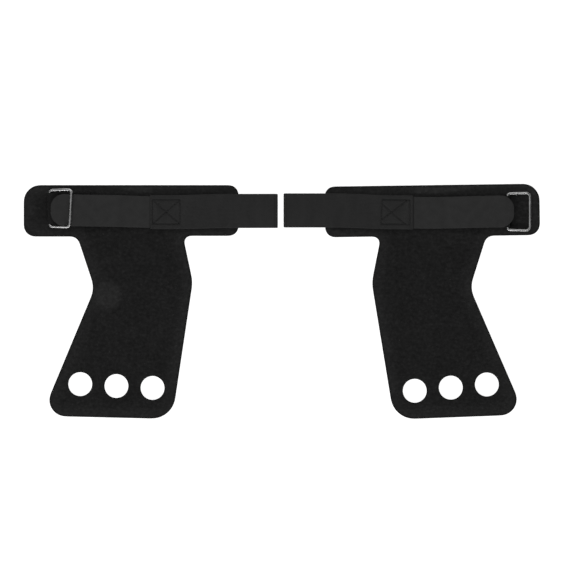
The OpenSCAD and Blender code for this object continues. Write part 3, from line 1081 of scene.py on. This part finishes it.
def make_hooks(side, path, lengths, half, width_at, centre_y, material):
    """Rows of moulded hooks under the tab, each a bent stalk with a curled head."""
    height = TAB_T - BACKING_T
    parts = []
    at = 0
    for row in range(int((lengths[-1] - HOOK_SPARE) / HOOK_PITCH)):
        s = HOOK_START + row * HOOK_PITCH
        while at < len(lengths) - 2 and lengths[at + 1] < s:
            at += 1
        share = (s - lengths[at]) / (lengths[at + 1] - lengths[at])
        p = path[at].lerp(path[at + 1], share)
        along = (path[at + 1] - path[at]).normalized()
        down = Vector((along.y, -along.x))
        reach = half * width_at(s) - HOOK_MARGIN
        columns = max(1, int(2 * reach / HOOK_PITCH))
        for column in range(columns + 1):
            v = -reach + 2 * reach * column / columns
            facing = 1 if (row + column) % 2 else -1
            points = []
            for forward, drop in HOOK_PROFILE:
                q = p + along * forward * facing + down * (BACKING_T / 2 - HOOK_ROOT + drop * height)
                points.append(Vector((SIGN[side] * q.x, centre_y(p.x) + v, q.y)))
            parts.append(tube(points, HOOK_R, 4, taper=lambda u: 1.25 - 0.55 * u))
    return join_parts(side + "_tab_hooks", parts, material)


# ---- ring and its loop

# Height that one layer of webbing takes up
LAYER = 1.0
# Corners of the upper layer's way down from the bar, as distances from the bar
LOOP_DOWN = (2, 10, 16)
# Ribs of the webbing
WEBBING_RIB = 0.05
WEBBING_RIB_PITCH = 2.1


def make_loop(side, webbing):
    """One length of webbing that passes round the ring's bar and lies doubled on the cuff."""
    bar = joint_place(side + "_ring_swivel")
    bar_x = SIGN[side] * bar.x
    low, high = node_span(side + "_ring_loop")
    start = outward(side, side + "_ring_loop")[0]
    wrap = high.z - bar.z - LAYER / 2
    lower = low.z + LAYER / 2
    upper = lower + LAYER
    middle_y = (low.y + high.y) / 2
    under = resample([Vector((start, lower)), Vector((bar_x, lower))], 1.0)
    crest, foot, flat = (bar_x - back for back in LOOP_DOWN)
    over = ((bar_x, bar.z + wrap), (crest, bar.z + wrap), (foot, upper), (flat, upper), (start, upper))
    path = under[:-1] + arc((bar_x, bar.z), wrap, -90, 90, 16)
    path += resample(soften([Vector(p) for p in over], 3), 1.0)[1:]
    seam = seam_lines(side, side + "_loop_stitching")
    turn = len(under) + 3

    def outer_face(x, v, s):
        dent = press(seam, x, v) if s > turn else 0.0
        return WEBBING_RIB * cos(2 * pi * v / WEBBING_RIB_PITCH) - WEBBING_RIB - LOOP_DENT * dent

    obj = band(side + "_loop", side, path, (high.y - low.y) / 2, WEBBING_T, WEBBING_EDGE, 0.5, webbing,
               lambda x: middle_y, bottom=outer_face)
    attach(obj, side + "_wrist")
    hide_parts(side + "_ring_loop")
    return obj


def make_ring(side, metal):
    """A closed rounded rectangle of wire, whose join isn't modelled."""
    bar = joint_place(side + "_ring_swivel")
    low, high = node_span(side + "_ring")
    outer = outward(side, side + "_ring")
    bar_x = SIGN[side] * bar.x
    tilted_up = high.z - bar.z > bar.z - low.z
    free_z = high.z - WIRE_R if tilted_up else low.z + WIRE_R
    free_x = outer[0] + WIRE_R if side == "left" else outer[1] - WIRE_R
    reach = Vector((free_x - bar_x, free_z - bar.z))
    pitch = reach.length
    along = reach / pitch
    half = (high.y - low.y) / 2 - WIRE_R
    middle_y = (high.y + low.y) / 2
    # Drawn flat, from the held bar at 0 to the free bar at pitch, with eight steps round each corner
    flat = []
    for quarter, corner in enumerate((FREE_CORNER, HELD_CORNER, HELD_CORNER, FREE_CORNER)):
        cx = corner if quarter in (1, 2) else pitch - corner
        cy = half - corner if quarter < 2 else corner - half
        for k in range(9):
            a = radians(90 * quarter + 90 * k / 8)
            flat.append(Vector((cx + corner * cos(a), cy + corner * sin(a))))
    flat = resample(flat + flat[:1], 0.7)[:-1]
    points = []
    for p in flat:
        narrow = 1 - RING_TAPER / half * (1 - p.x / pitch)
        lean = RING_LEAN[side] * p.y / half * smooth(p.x / pitch)
        at = Vector((bar_x, bar.z)) + along * (p.x + lean)
        points.append(Vector((SIGN[side] * at.x, middle_y + p.y * narrow, at.y)))
    obj = join_parts(side + "_wire_ring", [tube(points, WIRE_R, 20, closed=True)], metal)
    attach(obj, side + "_ring_link")
    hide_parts(side + "_ring")
    return obj


# ---- thread

def make_threads(side, thread):
    """The stitches of the box, of the elastic's sewn end and of the webbing loop."""
    on_strap = partial(strap_y, side)
    low, high = node_span(side + "_ring_loop")
    loop_y = (low.y + high.y) / 2
    loop_z = node_span(side + "_loop_stitching")[0].z
    _, cuff_z, leg_z = elastic_levels(side)
    half_t = ELASTIC_T / 2
    band_lines = seam_lines(side, side + "_band_stitching")
    loop_lines = seam_lines(side, side + "_loop_stitching")
    seams = (
        ("_box", "_strap", stitches(side, box_lines(side), leg_z + half_t, on_strap, BOX_SINK)),
        ("_band", "_wrist", stitches(side, band_lines, cuff_z + half_t, on_strap, SEAM_SINK)),
        ("_loop", "_wrist", stitches(side, loop_lines, loop_z, lambda x: loop_y, SEAM_SINK)),
    )
    made = []
    for seam, body, parts in seams:
        obj = join_parts(side + seam + "_thread", parts, thread)
        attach(obj, side + body)
        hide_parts(side + seam + "_stitching")
        made.append(obj)
    return made


# ---- the pair

suede, cut_edge = suede_material(), cut_edge_material()
elastic = elastic_material()
tape = woven_material("hook_tape_backing", HOOK_TAPE, 0.55, TAPE_SPECULAR, 0.55, 0.8, 0.08)
webbing = woven_material("loop_webbing", WEBBING, 0.9, CLOTH_SPECULAR, 0.7, 0.9, 0.2)
thread, nylon, metal = thread_material(), hook_material(), metal_material()

for side in SIGN:
    make_sheet(side, suede, cut_edge)
    sewn, top = make_elastic(side, elastic)
    hold_elastic(side, sewn, top)
    tab, field = make_tab(side, tape, nylon)
    loop = make_loop(side, webbing)
    ring = make_ring(side, metal)
    threads = make_threads(side, thread)


# ---- floor, light and camera

# Places and sizes here are in metres
FLOOR_REACH = 4.0
PAPER = (0.9, 0.9, 0.9, 1)
WHITE = (1, 1, 1, 1)
PAPER_GLOW = 0.8
WORLD_GLOW = 0.1
# Softboxes: name, place, size and watts. All face LIGHT_TARGET
LIGHTS = (
    ("overhead", (-0.7, 0.1, 2.1), (2.4, 2.0), 10),
    ("front_softbox", (-0.1, -1.3, 0.75), (2.7, 0.3), 15),
    ("back_softbox", (0.0, 1.5, 1.3), (1.8, 0.9), 8),
)
LIGHT_TARGET = (0, 0.02, 0)
# The camera looks straight down from far off, as the photograph has hardly any perspective
CAMERA_PLACE = (0.0053, 0.0114, 3.0)
CAMERA_LENS = 218.8


def make_floor():
    """White paper that glows a little, so that it stays plain and free of shadows."""
    work = bmesh.new()
    bmesh.ops.create_grid(work, x_segments=4, y_segments=4, size=FLOOR_REACH)
    mesh = bpy.data.meshes.new("floor")
    work.to_mesh(mesh)
    work.free()
    paper = bpy.data.materials.new("white_paper")
    paper.use_nodes = True
    shader = paper.node_tree.nodes["Principled BSDF"]
    looks = {"Base Color": PAPER, "Roughness": 0.9, "Specular IOR Level": 0.1,
             "Emission Color": WHITE, "Emission Strength": PAPER_GLOW}
    for key, value in looks.items():
        shader.inputs[key].default_value = value
    mesh.materials.append(paper)
    add_object("floor", mesh)


def make_light(name, place, size, watts):
    light = bpy.data.lights.new(name, "AREA")
    light.shape = "RECTANGLE"
    light.size, light.size_y = size
    light.energy = watts
    obj = add_object(name, light)
    obj.location = place
    obj.rotation_euler = (Vector(LIGHT_TARGET) - Vector(place)).to_track_quat("-Z", "Y").to_euler()


def make_world():
    world = bpy.data.worlds.new("studio")
    world.use_nodes = True
    background = world.node_tree.nodes["Background"]
    background.inputs["Color"].default_value = WHITE
    background.inputs["Strength"].default_value = WORLD_GLOW
    bpy.context.scene.world = world
    bpy.context.scene.view_settings.view_transform = "Standard"


def make_camera():
    camera = bpy.data.cameras.new("camera")
    camera.lens = CAMERA_LENS
    obj = add_object("camera", camera)
    obj.location = CAMERA_PLACE
    bpy.context.scene.camera = obj


make_floor()
for light in LIGHTS:
    make_light(*light)
make_world()
make_camera()
